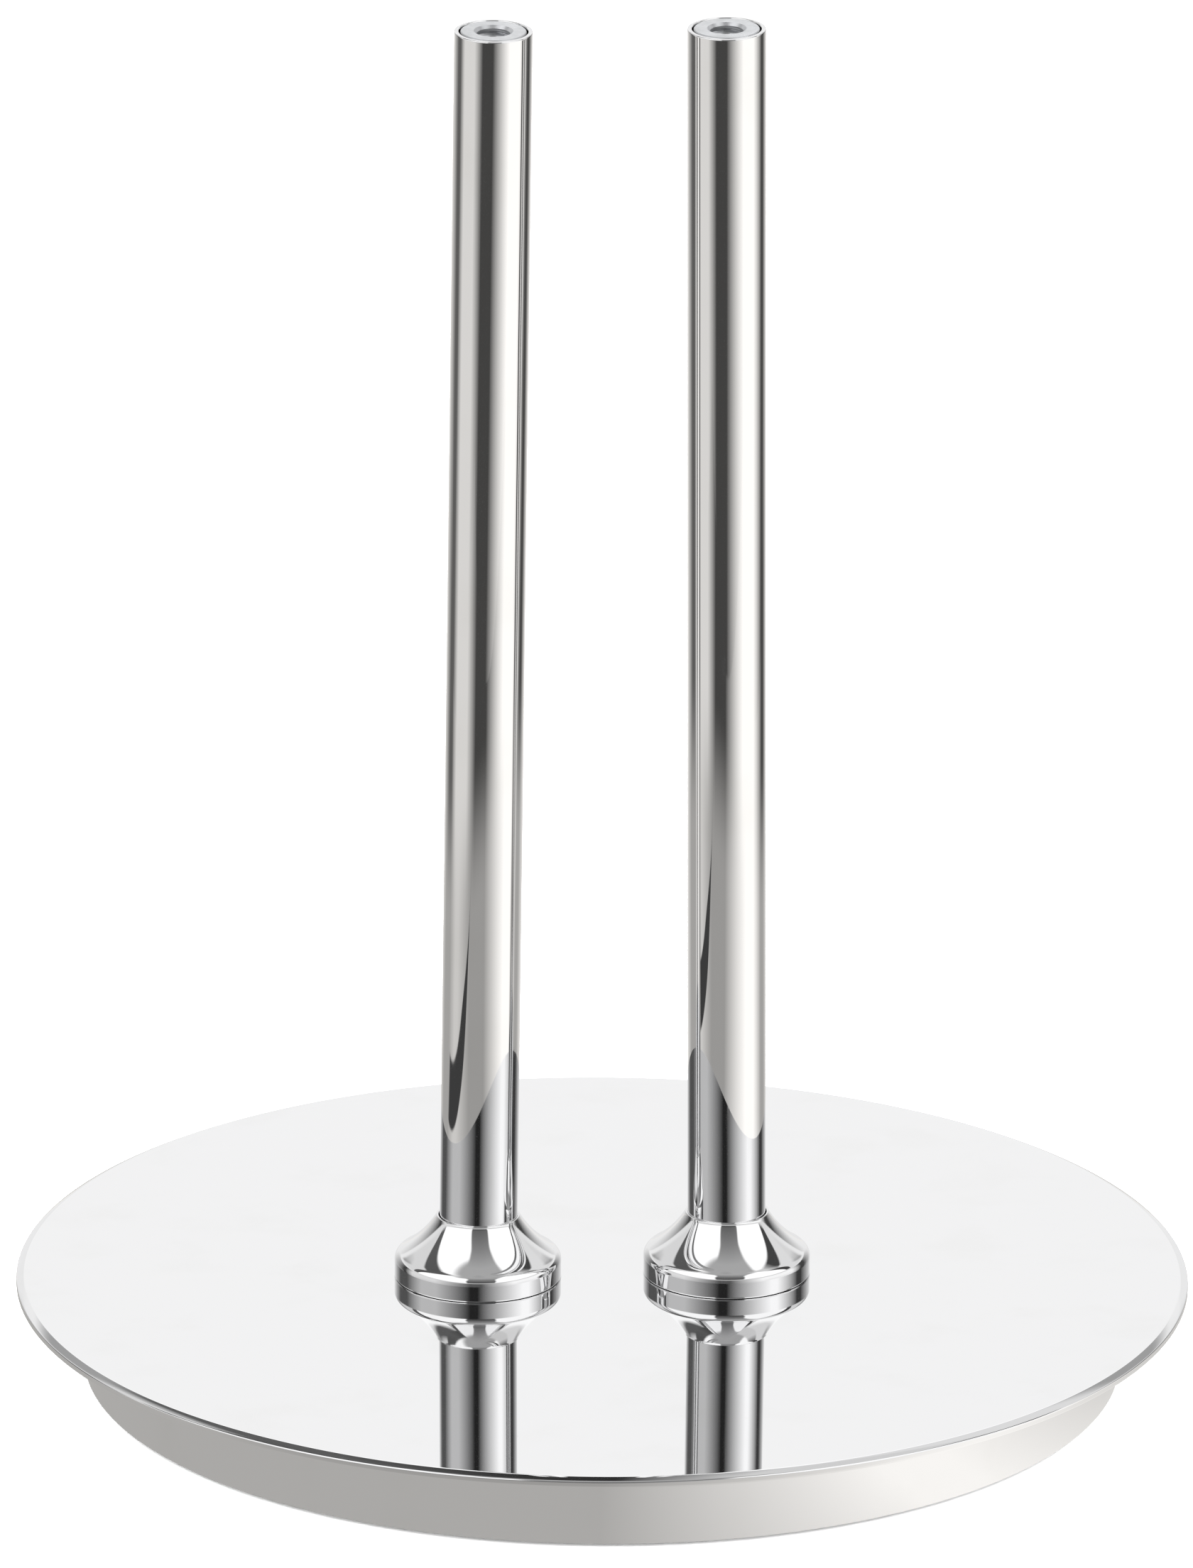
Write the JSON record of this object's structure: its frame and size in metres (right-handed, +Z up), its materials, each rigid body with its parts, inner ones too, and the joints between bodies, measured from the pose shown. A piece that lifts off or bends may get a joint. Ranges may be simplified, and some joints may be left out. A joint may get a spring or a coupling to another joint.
{
  "type": "tiered stand base section",
  "caption": "Base section of a chrome tiered stand: a round mirror plate on a weighted drum, with slim posts rising from turned collars to threaded ends.",
  "frame": {"origin": "on the table, under the middle of the round plate", "axes": "+Z up along the posts; the two posts stand side by side along X; +Y points to the back"},
  "size_m": [0.24, 0.24, 0.2875],
  "materials": {
    "mirror_chrome": "mirror-polished bright chrome plating on steel and turned brass",
    "cast_iron": "rough sand-cast iron, oiled",
    "black_paint": "satin black powder coat",
    "zinc_steel": "bright zinc-plated steel",
    "insert_brass": "plain turned brass",
    "foot_rubber": "matt black rubber",
    "gasket_vinyl": "translucent soft vinyl"
  },
  "bodies": {
    "root": {"top_plate": "mirror_chrome", "base_drum": "mirror_chrome", "ballast_weight": "cast_iron", "bottom_cover": "black_paint", "cover_screw_1": "zinc_steel", "cover_screw_2": "zinc_steel", "cover_screw_3": "zinc_steel", "foot_pad_1": "foot_rubber", "foot_pad_2": "foot_rubber", "foot_pad_3": "foot_rubber", "foot_pad_4": "foot_rubber", "post_collar_left": "mirror_chrome", "post_collar_right": "mirror_chrome", "collar_gasket_left": "gasket_vinyl", "collar_gasket_right": "gasket_vinyl", "post_tube_left": "mirror_chrome", "post_tube_right": "mirror_chrome", "lower_insert_left": "insert_brass", "lower_insert_right": "insert_brass", "upper_insert_left": "zinc_steel", "upper_insert_right": "zinc_steel", "post_stud_left": "zinc_steel", "post_stud_right": "zinc_steel", "flat_washer_left": "zinc_steel", "flat_washer_right": "zinc_steel", "lock_washer_left": "zinc_steel", "lock_washer_right": "zinc_steel", "stud_nut_left": "zinc_steel", "stud_nut_right": "zinc_steel"}
  },
  "joints": []
}
